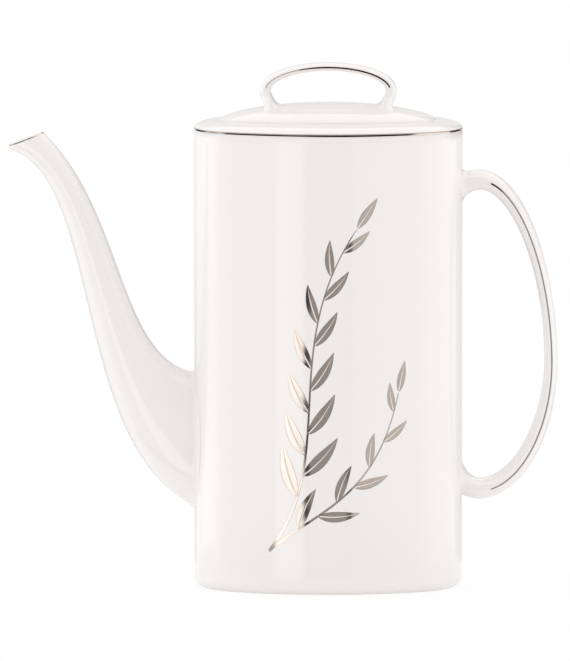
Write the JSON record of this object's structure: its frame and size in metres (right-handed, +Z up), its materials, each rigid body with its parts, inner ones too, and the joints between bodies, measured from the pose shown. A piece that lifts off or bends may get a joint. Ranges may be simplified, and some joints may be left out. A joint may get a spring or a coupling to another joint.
{
  "type": "coffee pot",
  "caption": "Tall flat-oval china coffee pot with a swan-neck spout, a D-shaped handle, platinum lines and a domed lift-off lid with a loop.",
  "frame": {"origin": "centre of the foot ring, on the surface that the pot stands on", "axes": "+X from the spout's side to the handle, +Y from the front to the back, +Z up"},
  "size_m": [0.2468, 0.0704, 0.2374],
  "materials": {
    "china": "clear glossy glaze over white china",
    "platinum": "fired and burnished platinum"
  },
  "bodies": {
    "pot": {"pot_body": "china", "rim_band": "platinum", "spout": "china", "spout_lip_band": "platinum", "handle": "china", "handle_line_front": "platinum", "handle_line_back": "platinum"},
    "lid": {"lid": "china", "lid_loop": "china", "loop_line_front": "platinum", "loop_line_back": "platinum"}
  },
  "joints": [
    {"name": "lid_lift", "type": "slide", "parent": "pot", "child": "lid", "axis": [0, 0, 1], "range_m": [0, 0.08]}
  ]
}
